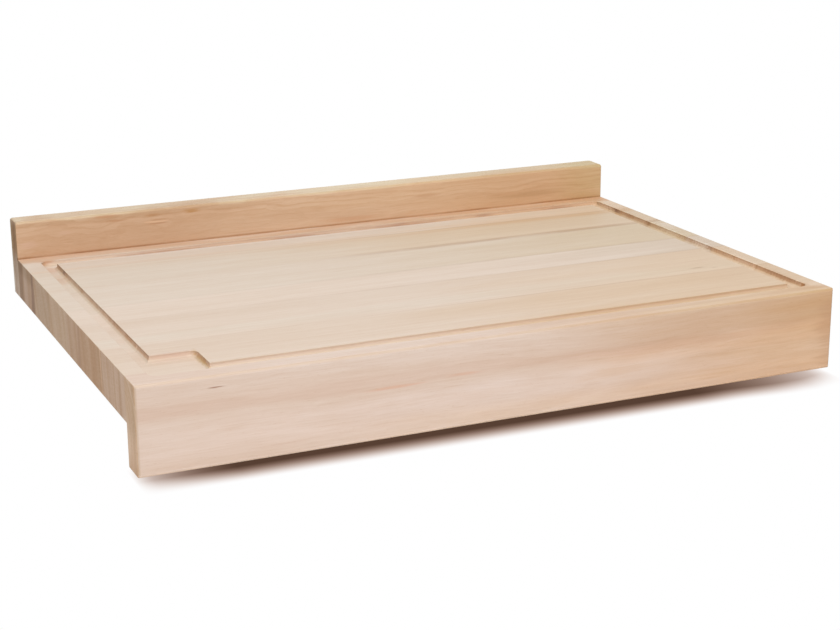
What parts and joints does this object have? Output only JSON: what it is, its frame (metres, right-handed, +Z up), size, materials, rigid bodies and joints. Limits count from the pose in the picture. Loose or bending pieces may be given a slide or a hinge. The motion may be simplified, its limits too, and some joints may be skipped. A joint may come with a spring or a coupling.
{
  "type": "worktop cutting board",
  "caption": "Wooden cutting board that hooks over a worktop edge, with a front apron, a back rail, a juice groove and a corner pocket.",
  "frame": {"origin": "under the middle of the board's footprint, at the height of the apron's foot", "axes": "+X along the grain from the left end to the right end, +Y from the apron to the back rail, +Z up out of the cutting surface"},
  "size_m": [0.6, 0.415, 0.104],
  "materials": {
    "apron_wood": "sanded and oiled, satin, pale pinkish cream with fine straight grain",
    "panel_wood": "sanded and oiled, satin, pale cream staves with end grain at both ends",
    "rail_wood": "sanded and oiled, satin, warm tan with wavy figure",
    "dowel_wood": "turned beech, unfinished"
  },
  "bodies": {
    "root": {"front_apron": "apron_wood", "stave_1": "panel_wood", "stave_2": "panel_wood", "stave_3": "panel_wood", "stave_4": "panel_wood", "stave_5": "panel_wood", "stave_6": "panel_wood", "back_rail": "rail_wood", "apron_dowel_1": "dowel_wood", "apron_dowel_2": "dowel_wood", "apron_dowel_3": "dowel_wood", "apron_dowel_4": "dowel_wood", "apron_dowel_5": "dowel_wood", "rail_dowel_1": "dowel_wood", "rail_dowel_2": "dowel_wood", "rail_dowel_3": "dowel_wood", "rail_dowel_4": "dowel_wood", "rail_dowel_5": "dowel_wood"}
  },
  "joints": []
}
